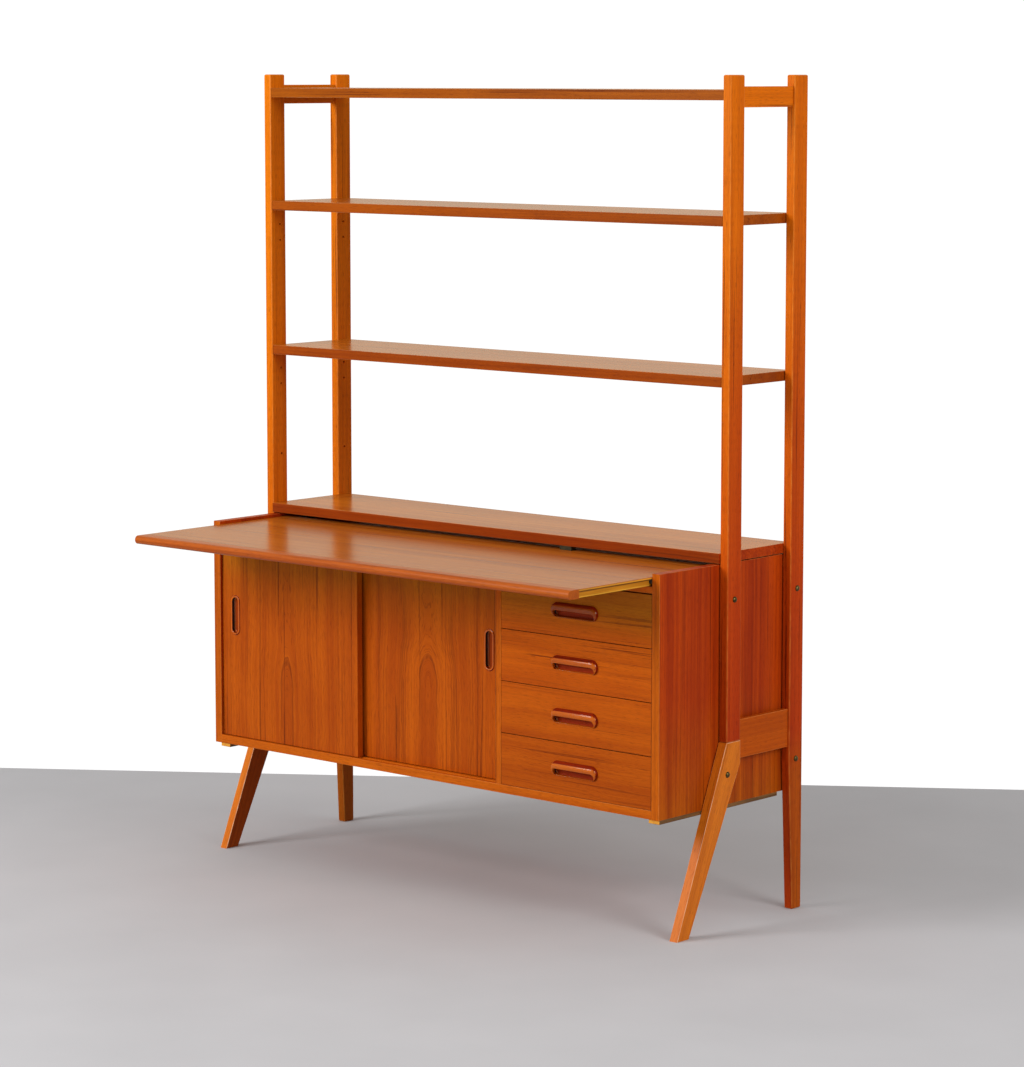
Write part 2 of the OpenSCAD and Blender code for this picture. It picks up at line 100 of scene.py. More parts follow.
class Finish:
    """A material and its tree."""

    def __init__(self, name, **shader):
        self.material = bpy.data.materials.new(name)
        self.material.use_nodes = True
        self.tree = self.material.node_tree
        self.shader = self.tree.nodes["Principled BSDF"]
        for socket, value in shader.items():
            self.shader.inputs[socket.replace("_", " ")].default_value = value

    def add(self, kind, settings=None, values=(), out=0):
        """One node: its settings, then the values or wires of its sockets."""
        node = self.tree.nodes.new(kind)
        for name, value in (settings or {}).items():
            if name == "stops":
                for place, colour in value[1:-1]:
                    node.color_ramp.elements.new(place)
                for element, (place, colour) in zip(node.color_ramp.elements, value):
                    element.position, element.color = place, (*colour, 1)
            else:
                setattr(node, name, value)
        for key, value in (values.items() if isinstance(values, dict) else enumerate(values)):
            self.join(value, node.inputs[key])
        return Wire(self, node.outputs[out])

    def join(self, value, socket):
        if isinstance(value, Wire):
            self.tree.links.new(value.socket, socket)
        elif socket.type == "RGBA":
            socket.default_value = (*value, 1)
        else:
            socket.default_value = value

    def give(self, **values):
        """Wires up the shader's own sockets."""
        for name, value in values.items():
            self.join(value, self.shader.inputs[name.replace("_", " ")])

    def split(self, vector):
        node = self.add("ShaderNodeSeparateXYZ", {}, [vector]).socket.node
        return [Wire(self, socket) for socket in node.outputs]

    def place(self):
        """Object coordinates, as three numbers in metres."""
        return self.split(self.add("ShaderNodeTexCoord", out="Object"))

    def plank(self):
        """Where a point lies in its plank: along the grain, across it, and through it."""
        return self.split(self.add("ShaderNodeAttribute", {"attribute_name": "grain"}, out="Vector"))

    def noise(self, x, y, z, detail, roughness=0.5):
        where = self.add("ShaderNodeCombineXYZ", {}, [x, y, z])
        return self.add("ShaderNodeTexNoise", {}, {"Vector": where, "Scale": 1.0, "Detail": detail,
                                                   "Roughness": roughness})

    def mix(self, share, first, second, mode="MIX"):
        return self.add("ShaderNodeMix", {"data_type": "RGBA", "blend_type": mode},
                        {0: share, 6: first, 7: second}, out=2)

    def bump(self, height, strength, distance):
        return self.add("ShaderNodeBump", {},
                        {"Strength": strength, "Distance": distance, "Height": height})


umber = (0.15, 0.022, 0.003)


def teak(name, light, dark, line=umber, heart=0.0, wander=0.012, lines=0.3, gloss=0.34, shine=0.05,
         patchy=0.06, worn_and_lit_edge=(0.95, 0.45, 0.14), wear=0.4, relief=0.08, painted_light_by_height=None, joint_y=None):
    """Oiled teak. Year lines run along the grain. A heart is a narrow tongue, this wide from its middle,
    that starts at the plank's centre and runs down. The height tint paints light and shade onto the wood from
    the floor up, and joint_y is a glue line across the board."""
    f = Finish(name, Specular_IOR_Level=shine)
    along, across, through = f.plank()
    x, y, z = f.place()

    # The grain wanders a little across the plank, and closes to a ragged arch over a heart
    drift = f.noise(along * 1.6, across * 2.5, through * 2.5, 1.0) - 0.5
    ripple = f.noise(along * 9, across * 16, through * 16, 1.0) - 0.5
    bent = across + drift * wander + ripple * (wander * 0.3)
    if heart:
        depth = along.rise(-0.07, 0.05) * (1.6 * heart)
        ragged = (f.noise(along * 26, across * 50, 4.0, 2.0) - 0.5) * (0.35 * heart)
        bent = (bent * bent + depth * depth).root() + ragged

    # Bands of 30 mm, streaks of 6 mm and fibres of 1.6 mm make the tone; clouds lie over them
    band = f.noise(along * 0.5, bent * 34, through * 34, 1.0)
    streak = f.noise(along * 1.6, bent * 170, through * 170, 2.0, 0.6)
    fine = f.noise(along * 7, bent * 620, through * 620, 1.0)
    pore = f.noise(along * 60, bent * 1500, through * 1500, 0.0)
    cloud = f.noise(along * 4.5, across * 9, through * 9, 2.0)
    tone = (band * 0.8 + streak * 0.6 + fine * 0.3 + cloud * 0.5 - 0.60).rise(0.15, 0.85)
    colour = f.mix(tone, dark, light)

    # Dark year lines, where a slow noise passes its middle
    edge = 1 - abs(f.noise(along * 0.35, bent * 62, through * 62 + 5, 1.0) - 0.5) * 2
    year = edge.rise(0.93, 0.995) * f.noise(along * 2.2, bent * 25, 3.0, 1.0).rise(0.40, 0.62)
    colour = f.mix(year * lines, colour, line)
    if heart:
        colour = f.mix((heart - bent).rise(-0.001, 0.004) * 0.4, colour, dark)
        rim = 1 - abs(bent - heart).rise(0.0002, 0.0030)
        broken = f.noise(along * 14, across * 60, 9.0, 2.0).rise(0.25, 0.65)
        colour = f.mix(rim * broken * (along.rise(-0.20, 0.0) * 0.45 + 0.2), colour, line)

    # Thin threads that come and go, and open pores
    thread = f.noise(along * 2.5, across * 210, through * 210 + 2, 1.0)
    where = f.noise(along * 1.2, across * 40, through * 40 + 8, 2.0).rise(0.42, 0.62)
    marks = thread.rise(0.61, 0.70) * where + pore.rise(0.60, 0.72) * 0.5
    colour = f.mix(marks * 0.75, colour, line)
    # Painted light and shade: the wood is tinted by its height above the floor
    if painted_light_by_height:
        stops = f.add("ShaderNodeValToRGB", {"stops": painted_light_by_height}, [z * (1 / TINT_SPAN)])
        colour = f.mix(1.0, colour, stops, "MULTIPLY")
    if joint_y:
        colour = f.mix((1 - abs(y - joint_y).rise(0.0003, 0.0011)) * 0.8, colour, line)

    # Rounded edges are made pale: partly rubbed wear, partly a painted highlight along the rounded corners
    rubbed_and_lit = f.add("ShaderNodeAttribute", {"attribute_name": "wear"}, out="Fac")
    chipped = f.noise(along * 40, across * 90, through * 90, 2.0).rise(0.35, 0.65)
    colour = f.mix(rubbed_and_lit * (chipped * 0.6 + 0.4) * wear, colour, worn_and_lit_edge)
    f.give(Base_Color=colour, Roughness=gloss + (cloud - 0.5) * patchy + pore.rise(0.6, 0.75) * patchy,
           Normal=f.bump(fine * 0.5 + pore * -0.5 + streak * 0.3, relief, 0.0006))
    return f.material


# The posts' pale corner line is partly wear and partly a painted highlight
def post_teak(name, tint):
    return teak(name, (0.88, 0.235, 0.004), (0.68, 0.150, 0.003), lines=0.2, wander=0.006, wear=0.35,
                worn_and_lit_edge=(1, 0.40, 0.08), painted_light_by_height=tint)


def raw_wood(name, light, dark, grain):
    """Bare birch or ply, with the grain along one axis."""
    f = Finish(name, IOR=1.4)
    x, y, z = f.place()
    slow, quick = 3.0, 160.0
    scale = [slow if g else quick for g in grain]
    streak = f.noise(x * scale[0], y * scale[1], z * scale[2], 3.0, 0.6)
    cloud = f.noise(x * 12, y * 12, z * 12, 2.0)
    f.give(Base_Color=f.mix((streak * 0.8 + cloud * 0.5 - 0.15).rise(0.2, 0.8), dark, light),
           Roughness=0.7 + (streak - 0.5) * 0.1, Normal=f.bump(streak, 0.15, 0.0005))
    return f.material


def desk_side(name, bands):
    """The desk board's cut sides, in level bands: (height where it starts, colour), from the bottom up."""
    f = Finish(name, Specular_IOR_Level=0.1)
    x, y, z = f.place()
    speck = f.noise(x * 200, y * 14, z * 500, 3.0)
    blur = 0.0002
    colour = bands[0][1]
    for height, tone in bands[1:]:
        colour = f.mix(z.rise(height - blur, height + blur), colour, tone)
    soiled = f.mix(0.55, colour, (0.02, 0.006, 0.002))
    f.give(Base_Color=f.mix(speck.rise(0.2, 0.75) * 0.6, colour, soiled),
           Roughness=0.6, Normal=f.bump(speck, 0.2, 0.0005))
    return f.material


def bronze():
    """Browned bronze with brighter spots."""
    f = Finish("bronze", Metallic=1.0)
    x, y, z = f.place()
    stain = f.noise(x * 500, y * 500, z * 500, 3.0)
    f.give(Base_Color=f.mix(stain.rise(0.3, 0.75), (0.045, 0.034, 0.012), (0.17, 0.125, 0.05)),
           Roughness=0.30 + (stain - 0.5) * 0.25, Normal=f.bump(stain, 0.1, 0.0003))
    return f.material


def plain(name, colour, other, roughness, metallic=0.0):
    """A small part's finish with a slight cloud in it."""
    f = Finish(name, Metallic=metallic)
    x, y, z = f.place()
    cloud = f.noise(x * 300, y * 300, z * 300, 3.0)
    f.give(Base_Color=f.mix(cloud.rise(0.3, 0.7), colour, other), Roughness=roughness + (cloud - 0.5) * 0.15,
           Normal=f.bump(cloud, 0.1, 0.0004))
    return f.material


# Painted light and shade by height, multiplied into the wood: (share of TINT_SPAN, colour that multiplies the
# wood's)
# Painted shade on the right posts' right-hand faces and the right upper rail: darker and redder towards the
# floor
side_painted_shade = ((0.0, (0.56, 0.40, 1)), (0.17, (0.56, 0.36, 1)), (0.22, (0.60, 0.22, 1)),
             (0.38, (0.66, 0.26, 1)), (0.62, (0.80, 0.46, 1)), (0.80, (0.93, 0.72, 1)),
             (0.95, (0.98, 0.82, 0.8)))
# Painted shade on the right posts' other faces: darker and redder low down, where the end panel keeps the
# light off
right_painted_shade = ((0.22, (0.62, 0.26, 1)), (0.40, (0.72, 0.36, 1)), (0.47, (0.88, 0.58, 1)),
              (0.62, (0.96, 0.78, 1)), (0.95, (1, 0.92, 0.8)))
# Painted shade on the left posts: much darker below the cabinet, in its shadow, and a little darker above
left_painted_shade = ((0.0, (0.42, 0.38, 1)), (0.13, (0.45, 0.38, 1)), (0.20, (0.84, 0.68, 1)),
             (0.42, (0.92, 0.78, 1)), (0.95, (0.98, 0.92, 0.8)))
# Painted light on the shelves' edges: brighter and yellower near the top
rim_painted_light = ((0.60, (0.97, 0.88, 1)), (0.80, (0.98, 0.92, 1)), (0.96, (1.12, 1.35, 1)))
# Painted shade on the doors: darker and olive at their tops, in the desk board's shadow
door_painted_shade = ((0.20, (0.93, 0.93, 1)), (0.32, (0.92, 0.92, 1)), (0.36, (0.90, 1.05, 1)),
             (0.395, (0.86, 1.45, 1.3)))
# Painted light and shade on the drawers: darker low down, brighter in the middle, and olive at the top in the
# desk board's shadow
drawer_painted_light_and_shade = ((0.17, (0.86, 0.82, 1)), (0.25, (0.95, 0.93, 1)), (0.31, (1.08, 1.06, 1)),
               (0.35, (1.08, 1.08, 1)), (0.385, (0.88, 1.42, 1.3)))
# Painted reflection on the end panels: more orange towards the floor, for light thrown up from it
panel_painted_reflection = ((0.14, (1, 1.9, 1)), (0.19, (1, 1.5, 1)), (0.28, (1, 1, 1)), (0.46, (1, 1, 1)))
# Painted shade on the pulls: darker from the door pulls up to drawer 1's, in the desk board's shadow
pull_painted_desk_shadow = ((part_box("left_door_pull")[1].z / TINT_SPAN, (1, 1, 1)),
             (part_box("drawer_1_pull")[0].z / TINT_SPAN, (0.62, 0.56, 0.9)))

# Frame
side_post_teak_painted_shade = post_teak("side_post_teak_painted_shade", side_painted_shade)
right_post_teak_painted_shade = post_teak("right_post_teak_painted_shade", right_painted_shade)
left_post_teak_painted_shade = post_teak("left_post_teak_painted_shade", left_painted_shade)
# The legs' rounded corners get a strong peach line: partly wear, partly a painted highlight
leg_teak = teak("leg_teak", (0.80, 0.215, 0.012), (0.62, 0.140, 0.008), lines=0.2, wander=0.006,
                shine=0.12, wear=1.0, worn_and_lit_edge=(1, 0.66, 0.42))
rail_teak = teak("rail_teak", (0.56, 0.095, 0.004), (0.42, 0.060, 0.003), lines=0.2)

# Boards, with polished tops and plainer edges
polished = {"gloss": 0.22, "shine": 0.12, "patchy": 0.02, "relief": 0.015}
shelf_teak = teak("shelf_teak", (0.66, 0.185, 0.010), (0.46, 0.10, 0.006), lines=0.4, **polished)
rim_teak = teak("rim_teak", (0.42, 0.085, 0.004), (0.28, 0.048, 0.003), wear=0.3, painted_light_by_height=rim_painted_light)
low_rim_teak = teak("low_rim_teak", (0.36, 0.058, 0.004), (0.24, 0.032, 0.003), wear=0.3)
desk_teak = teak("desk_teak", (0.55, 0.155, 0.011), (0.40, 0.092, 0.007), lines=0.5, wander=0.02,
                 joint_y=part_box("desk_lipping")[1].y, **polished)
lip_teak = teak("lip_teak", (0.54, 0.120, 0.010), (0.38, 0.066, 0.006), gloss=0.30, shine=0.12, wear=0.2)
panel_teak = teak("panel_teak", (0.57, 0.064, 0.003), (0.32, 0.025, 0.003), (0.16, 0.014, 0.003),
                  painted_light_by_height=panel_painted_reflection)
edge_teak = teak("edge_teak", (0.66, 0.145, 0.005), (0.50, 0.090, 0.004), lines=0.2)

# Doors, drawers and their pulls
left_door_teak = teak("left_door_teak", (0.60, 0.115, 0.004), (0.42, 0.064, 0.003), heart=0.016,
                      lines=0.4, painted_light_by_height=door_painted_shade)
right_door_teak = teak("right_door_teak", (0.62, 0.120, 0.004), (0.44, 0.068, 0.003), heart=0.023,
                       lines=0.4, painted_light_by_height=door_painted_shade)
drawer_teak = teak("drawer_teak", (0.60, 0.120, 0.004), (0.45, 0.075, 0.003), wander=0.02,
                   painted_light_by_height=drawer_painted_light_and_shade)
pull_teak = teak("pull_teak", (0.66, 0.145, 0.004), (0.48, 0.082, 0.003), (0.12, 0.018, 0.002), lines=0.2,
                 gloss=0.14, shine=0.26, relief=0.02, painted_light_by_height=pull_painted_desk_shadow)
# Painted shade for the pulls' outer slopes and tops
pull_shade = teak("pull_shade", (0.30, 0.021, 0.003), (0.18, 0.011, 0.002), (0.04, 0.003, 0.002),
                  lines=0.2, gloss=0.3, shine=0.1)
pull_floor = teak("pull_floor", (0.42, 0.040, 0.005), (0.29, 0.026, 0.004), (0.12, 0.010, 0.002))
door_floor = teak("door_floor", (0.40, 0.055, 0.006), (0.28, 0.035, 0.004))
# Painted shadow inside the pulls' pockets
pull_dark = plain("pull_dark", (0.020, 0.003, 0.001), (0.008, 0.002, 0.001), 0.8)

# Bare wood, and the desk board's bare sides
birch = raw_wood("birch", (0.72, 0.46, 0.20), (0.52, 0.29, 0.11), Y)
strip_birch = raw_wood("strip_birch", (0.90, 0.42, 0.04), (0.66, 0.26, 0.02), Y)
# The battens' sides are painted dark, for the shade under the end panels
batten_birch = raw_wood("batten_birch", (0.30, 0.13, 0.03), (0.035, 0.016, 0.008), Y)
back_ply = raw_wood("back_ply", (0.60, 0.36, 0.16), (0.44, 0.23, 0.09), Z)
drawer_ply = raw_wood("drawer_ply", (0.66, 0.44, 0.22), (0.52, 0.31, 0.13), X)
board_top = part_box("desk_board")[1].z
# The desk board's sides: the lowest band is a painted shadow line under the board's edge, then the yellow ply
# and the red veneer
desk_edge = desk_side("desk_edge", ((0, (0.10, 0.035, 0.008)),
                                    (board_top - 0.0036, (0.85, 0.36, 0.03)),
                                    (board_top - 0.0011, (0.40, 0.055, 0.008))))
# The strips under the desk board: a painted highlight on the lit lower edge, the raw strip, then a painted
# shadow under the board's overhang at the top
desk_strip = desk_side("desk_strip", ((0, (0.95, 0.46, 0.04)),
                                      (board_top - 0.0155, (0.72, 0.27, 0.015)),
                                      (board_top - 0.0075, (0.30, 0.11, 0.015))))

# Fittings
old_bronze = bronze()
steel = plain("steel", (0.55, 0.55, 0.54), (0.42, 0.42, 0.41), 0.35, metallic=1.0)
olive_pad = plain("olive_pad", (0.045, 0.036, 0.010), (0.02, 0.016, 0.006), 0.95)
black_runner = plain("black_runner", (0.012, 0.011, 0.010), (0.03, 0.026, 0.022), 0.55)


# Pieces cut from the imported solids

def solid_of(node):
    """A node's mesh as one closed shape with whole faces."""
    shape = bmesh.new()
    shape.from_mesh(frame["nodes"][node].data)
    bmesh.ops.remove_doubles(shape, verts=shape.verts, dist=WELD)
    bmesh.ops.dissolve_limit(shape, angle_limit=FLAT_ANGLE, verts=shape.verts, edges=shape.edges)
    return shape


def placed(name, mesh, node):
    """A mesh as the piece that stands for a node."""
    piece = bpy.data.objects.new(name, mesh)
    bpy.context.scene.collection.objects.link(piece)
    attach(piece, frame["nodes"][node]["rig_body"])
    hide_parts(node)
    return piece


def made(name, shape, node, finishes):
    """Turns a shape into the piece that stands for a node. Wide faces stay flat, narrow ones run smooth."""
    narrow = [face.calc_area() < NARROW * max(edge.calc_length() for edge in face.edges)
              for face in shape.faces]
    mesh = bpy.data.meshes.new(name)
    shape.to_mesh(mesh)
    shape.free()
    old_normals = mesh.attributes.get("custom_normal")
    if old_normals:
        mesh.attributes.remove(old_normals)
    mesh.set_sharp_from_angle(angle=SHARP_ANGLE)
    mesh.polygons.foreach_set("use_smooth", narrow)
    for finish in finishes:
        mesh.materials.append(finish)
    return placed(name, mesh, node)


def lay_grain(piece, along, across, centre, seed):
    """Notes each point's place in its plank, in metres."""
    along = along.normalized()
    through = along.cross(across).normalized()
    grain = piece.data.attributes.new("grain", "FLOAT_VECTOR", "POINT")
    for vertex in piece.data.vertices:
        d = vertex.co - centre
        grain.data[vertex.index].vector = (d.dot(along), d.dot(across), d.dot(through) + seed)


def eased(node, along, across, finishes, radius, seed, centre=None, shortest=0.02):
    """A wooden part with its long outer edges rounded, and those edges marked for wear and a painted
    highlight.
    """
    shape = solid_of(node)
    outer = [e for e in shape.edges if len(e.link_faces) == 2 and e.is_convex
             and e.calc_face_angle() > EASED_ANGLE and e.calc_length() > shortest]
    rounded = set(bmesh.ops.bevel(shape, geom=outer, offset=radius, offset_type="OFFSET", segments=2,
                                  profile=0.5, affect="EDGES", clamp_overlap=True)["faces"])
    crest = [all(face in rounded for face in vertex.link_faces) for vertex in shape.verts]
    low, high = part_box(node)
    piece = made(node + "_wood", shape, node, finishes)
    lay_grain(piece, along, across, centre or (low + high) / 2, seed)
    wear = piece.data.attributes.new("wear", "FLOAT", "POINT")
    wear.data.foreach_set("value", [float(c) for c in crest])
    return piece


def paint(piece, index, test):
    """Gives the faces that pass the test another of the piece's finishes."""
    for face in piece.data.polygons:
        if test(face):
            face.material_index = index


def looks_front(face): return face.normal.y < -SQUARE_ON
def looks_right(face): return face.normal.x > SQUARE_ON
def looks_down(face): return face.normal.z < -SQUARE_ON
def is_long_edge(face): return abs(face.normal.y) > SQUARE_ON
def is_end(face): return abs(face.normal.x) > SQUARE_ON


for k, node in enumerate(("left_front_post", "right_front_post", "left_rear_post", "right_rear_post")):
    front = left_post_teak_painted_shade if "left" in node else right_post_teak_painted_shade
    post = eased(node, Z, Y, [front, side_post_teak_painted_shade], 0.003, 1.3 * k, shortest=0.015)
    # The right posts' right-hand faces take the shaded copy of the post teak, with painted shade
    if "right" in node:
        paint(post, 1, looks_right)

foot_half, head_half = 0.0175, 0.03         # half of a front leg's width at its foot and its head
for k, side in enumerate(("left", "right")):
    low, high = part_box(side + "_front_leg")
    foot, head = Vector((0, low.y + foot_half, 0)), Vector((0, high.y - head_half, high.z))
    rake = foot - head
    leg = eased(side + "_front_leg", rake, X.cross(rake).normalized(), [leg_teak, rim_teak], 0.0022, 7 + k)
    # The left leg's right-hand faces take the darker rim teak as painted shade, for the cabinet's shadow
    if side == "left":
        paint(leg, 1, looks_right)
    # The right upper rail takes the shaded side copy of the post teak, with painted shade
    upper_rail_teak = left_post_teak_painted_shade if side == "left" else side_post_teak_painted_shade
    eased(side + "_upper_rail", Y, Z, [upper_rail_teak], 0.0012, 9 + k)
    eased(side + "_lower_rail", Y, Z, [rail_teak], 0.0012, 11 + k)
    panel = eased(side + "_end_panel", Z, Y, [panel_teak, edge_teak], 0.0009, 13 + k)
    paint(panel, 1, looks_front)
    # The battens' sides take painted shade, their front ends the bright strip birch
    batten = eased(side + "_batten", Y, X, [batten_birch, strip_birch], 0.0005, 15 + k)
    paint(batten, 1, looks_front)

for k, node in enumerate(("top_shelf", "upper_shelf", "lower_shelf", "fixed_top")):
    rim = low_rim_teak if node == "fixed_top" else rim_teak
    shelf = eased(node, X, Y, [shelf_teak, rim, panel_teak], 0.0009, 20 + k)
    paint(shelf, 1, is_long_edge)
    # The shelves' end faces take a darker teak as painted shade
    paint(shelf, 2 if node == "fixed_top" else 1, is_end)

eased("bottom_panel", X, Y, [edge_teak], 0.0009, 31)
eased("sub_top", X, Y, [edge_teak], 0.0008, 32)
eased("partition", Z, Y, [edge_teak], 0.0008, 33)
board = eased("desk_board", X, Y, [desk_teak, desk_edge, birch], 0.0005, 40)
paint(board, 1, is_end)
paint(board, 2, looks_down)
eased("desk_lipping", X, Y, [lip_teak], 0.0008, 41)

# Each door's centre is the top of its heart
eased("left_door", Z, X, [left_door_teak], 0.0008, 50, centre=Vector((-0.398, -0.08, 0.431)))
eased("right_door", Z, X, [right_door_teak], 0.0008, 51, centre=Vector((-0.0157, -0.06, 0.484)))
for i in range(1, 5):
    eased(f"drawer_{i}_front", X, Z, [drawer_teak], 0.0009, 60 + i)


# Finger pulls

# The lip's profile, from its outer edge (0) to its pocket (1): how far across, and its share of the crest
lip_section = ((0.0, 0.15), (0.04, 0.36), (0.10, 0.56), (0.19, 0.74), (0.31, 0.88), (0.46, 0.97), (0.62, 1.0),
               (0.78, 0.98), (0.90, 0.91), (0.97, 0.80), (1.0, 0.64))
CORNER_STEPS = 10
WALL_STEPS = 5
FOOT_SHRINK = 0.98      # the hidden foot is a little smaller than the lip
FOOT_TURN = 0.001       # where the foot starts behind the face
FLOOR_CURVE = 0.002     # how far the pocket's floor is drawn in


def oval(width, height):
    """Points round an oval with two straight sides, and the outward direction at each."""
    reach, radius = Vector(((width - height) / 2, 0)), height / 2
    if height > width:
        reach, radius = Vector((0, (height - width) / 2)), width / 2
    points = []
    for k in range(4 * CORNER_STEPS):
        turn = math.pi / 2 * (k + 0.5) / CORNER_STEPS
        out = Vector((math.cos(turn), math.sin(turn)))
        ends = Vector((math.copysign(reach.x, out.x), math.copysign(reach.y, out.y)))
        points.append((ends + out * radius, out))
    return points


def cup_pull(node, front, pocket, drop, depth, crest_low, undercut, floor_finish, seed):
    """A turned-out lip round a finger pocket in a front. The lip is lower at its bottom than at its top.
    The pocket sits this far below the lip's middle, and its top wall is cut under."""
    face_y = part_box(front)[0].y
    floor_y = face_y + depth
    low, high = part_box(node)
    middle = (low + high) / 2
    outer = oval(high.x - low.x, high.z - low.z)
    inner = oval(*pocket)
    crest_high = face_y - low.y
    shape = bmesh.new()
    rings = []

    def ring(points, depths):
        rings.append([shape.verts.new((middle.x + p.x, y, middle.z + p.y)) for p, y in zip(points, depths)])

    spots = [p for p, _ in outer]
    ring([p * FOOT_SHRINK for p in spots], [high.y] * len(spots))
    ring(spots, [face_y + FOOT_TURN] * len(spots))
    for across, up in lip_section:
        points, depths = [], []
        for (a, out), (b, _) in zip(outer, inner):
            b = b - Vector((0, drop))
            crest = crest_low + (crest_high - crest_low) * ((out.y + 1) / 2) ** 0.6
            points.append(a.lerp(b, across))
            depths.append(face_y - crest * up)
        ring(points, depths)
    for k in range(1, WALL_STEPS + 1):
        t = k / WALL_STEPS
        points = [b - Vector((0, drop)) + out * undercut * math.sin(math.pi * t) * (1 if out.y > 0 else 0.2)
                  - out * FLOOR_CURVE * max(0, t - 0.8) / 0.2 for b, out in inner]
        ring(points, [face_y + (floor_y - face_y) * t] * len(points))
    for first, second in zip(rings, rings[1:]):
        for j in range(len(first)):
            m = (j + 1) % len(first)
            shape.faces.new((first[j], first[m], second[m], second[j]))
    shape.faces.new(rings[0])
    shape.faces.new(rings[-1])
    bmesh.ops.recalc_face_normals(shape, faces=shape.faces)

    upright = high.z - low.z > high.x - low.x
    steepest = -0.90 if upright else -0.45
    piece = made(node + "_turned", shape, node, [pull_teak, pull_shade, pull_dark, floor_finish])

    def turns_out(face): return (face.center - middle).dot(face.normal) > 0
    def in_pocket(face): return face.center.y > face_y

    # Painted shade: the lip's outer slopes, and the drawer pulls' top faces, take the darker pull_shade
    paint(piece, 1, lambda face: turns_out(face) and face.normal.y > steepest
          or not upright and face.normal.z > 0.55)
    # Painted shadow on the pocket's inner walls
    paint(piece, 2, lambda face: in_pocket(face) and abs(face.normal.y) < 0.7
          and (face.center - middle).dot(face.normal) < 0)
    paint(piece, 3, lambda face: in_pocket(face) and (face.normal.z > 0.5 or looks_front(face)
                                                      and face.center.y > face_y + 0.004))
    lay_grain(piece, Z if upright else X, X if upright else Z, middle, seed)


for i in range(1, 5):
    cup_pull(f"drawer_{i}_pull", f"drawer_{i}_front", pocket=(0.104, 0.0130), drop=0.0070, depth=0.0068,
             crest_low=0.0012, undercut=0.0022, floor_finish=pull_floor, seed=70 + i)
for k, side in enumerate(("left", "right")):
    cup_pull(f"{side}_door_pull", f"{side}_door", pocket=(0.0178, 0.0758), drop=0.0, depth=0.0070,
             crest_low=0.0022, undercut=0.0006, floor_finish=door_floor, seed=80 + k)


# Frame bolts

BOLT = {"Cap Radius": 0.0058, "Cap Height": 0.0040, "Washer Radius": 0.006, "Washer Thickness": 0.0012,
        "Shank Radius": 0.003, "Shank Length": 0.034}


def bolt_tree():
    """One domed bolt on each point: washer, cap and shank."""
    tree = bpy.data.node_groups.new("frame_bolts", "GeometryNodeTree")
    sockets = {}
    tree.interface.new_socket("Points", in_out="INPUT", socket_type="NodeSocketGeometry")
    for name, size in BOLT.items():
        sockets[name] = tree.interface.new_socket(name, in_out="INPUT", socket_type="NodeSocketFloat")
        sockets[name].default_value = size
    sockets["Finish"] = tree.interface.new_socket("Finish", in_out="INPUT", socket_type="NodeSocketMaterial")
    tree.interface.new_socket("Bolts", in_out="OUTPUT", socket_type="NodeSocketGeometry")

    def add(kind, values=None, **settings):
        node = tree.nodes.new(kind)
        for name, value in settings.items():
            setattr(node, name, value)
        for name, value in (values or {}).items():
            if isinstance(value, bpy.types.NodeSocket):
                tree.links.new(value, node.inputs[name])
            else:
                node.inputs[name].default_value = value
        return node

    def result(kind, values=None, **settings):
        return add(kind, values, **settings).outputs[0]

    size = add("NodeGroupInput").outputs
    quarter_turn = (0, math.pi / 2, 0)
    cap = result("GeometryNodeMeshUVSphere", {"Segments": 28, "Rings": 16, "Radius": 1.0})
    squat = result("ShaderNodeCombineXYZ", {0: size["Cap Height"], 1: size["Cap Radius"],
                                            2: size["Cap Radius"]})
    cap = result("GeometryNodeTransform", {"Geometry": cap, "Scale": squat})
    cap = result("GeometryNodeSetShadeSmooth", {"Geometry": cap})
    washer = result("GeometryNodeMeshCylinder", {"Vertices": 28, "Radius": size["Washer Radius"],
                                                 "Depth": size["Washer Thickness"]})
    washer = result("GeometryNodeTransform", {"Geometry": washer, "Rotation": quarter_turn})
    shank = result("GeometryNodeMeshCylinder", {"Vertices": 20, "Radius": size["Shank Radius"],
                                                "Depth": size["Shank Length"]})
    half = result("ShaderNodeMath", {0: size["Shank Length"], 1: -0.5}, operation="MULTIPLY")
    inward = result("ShaderNodeCombineXYZ", {0: half})
    shank = result("GeometryNodeTransform", {"Geometry": shank, "Rotation": quarter_turn,
                                             "Translation": inward})
    bolt = add("GeometryNodeJoinGeometry")
    for part in (cap, washer, shank):
        tree.links.new(part, bolt.inputs[0])
    turn = add("GeometryNodeInputNamedAttribute", {"Name": "turn"}, data_type="FLOAT").outputs["Attribute"]
    facing = result("ShaderNodeCombineXYZ", {2: turn})
    spread = result("GeometryNodeInstanceOnPoints", {"Points": size["Points"], "Instance": bolt.outputs[0],
                                                     "Rotation": facing})
    solid = result("GeometryNodeRealizeInstances", {"Geometry": spread})
    solid = result("GeometryNodeSetMaterial", {"Geometry": solid, "Material": size["Finish"]})
    tree.links.new(solid, add("NodeGroupOutput").inputs[0])
    return tree, {name: socket.identifier for name, socket in sockets.items()}


def grown(name, mesh, tree, inputs, node):
    """Runs a tree on a mesh and keeps the result as the piece that stands for a node."""
    seedling = bpy.data.objects.new(name + "_points", mesh)
    bpy.context.scene.collection.objects.link(seedling)
    modifier = seedling.modifiers.new("grow", "NODES")
    modifier.node_group = tree
    for identifier, value in inputs.items():
        modifier[identifier] = value
    bpy.context.view_layer.update()
    evaluated = seedling.evaluated_get(bpy.context.evaluated_depsgraph_get())
    mesh = bpy.data.meshes.new_from_object(evaluated)
    bpy.data.objects.remove(seedling)
    placed(name, mesh, node)


